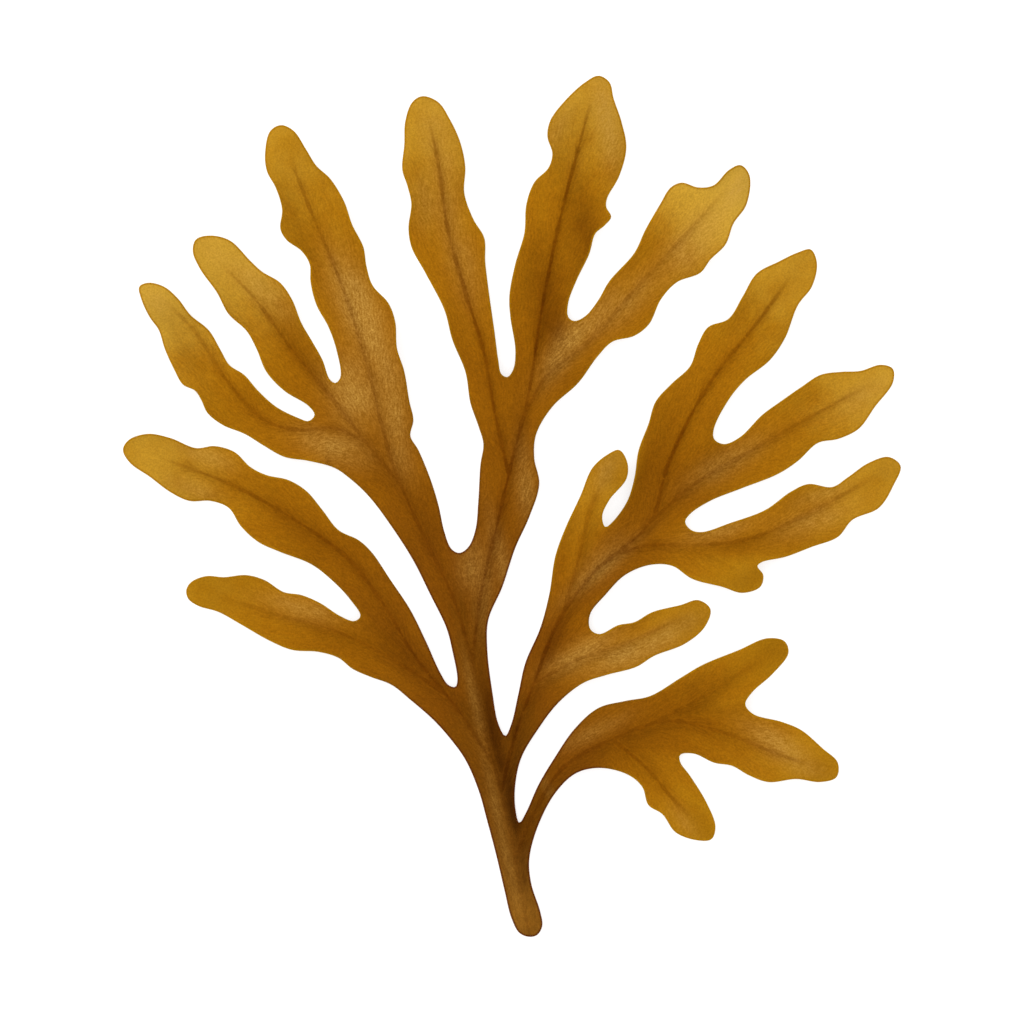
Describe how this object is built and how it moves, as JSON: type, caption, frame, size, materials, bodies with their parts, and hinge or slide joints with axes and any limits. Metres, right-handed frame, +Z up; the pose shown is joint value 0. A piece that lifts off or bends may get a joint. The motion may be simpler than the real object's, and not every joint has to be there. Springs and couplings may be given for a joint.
{
  "type": "seaweed frond",
  "caption": "Flat forked seaweed frond: a rounded stipe that forks again and again into ribbed strap blades with wavy margins and rounded tips, laid on a surface.",
  "frame": {"origin": "on the surface that the frond lies on, under the middle of its box", "axes": "+Y from the cut foot of the stipe towards the top tips, +X to the right seen from above, +Z up"},
  "size_m": [0.1942, 0.215, 0.0107],
  "materials": {
    "frond": "satin"
  },
  "bodies": {
    "root": {"thallus": "frond"}
  },
  "joints": []
}
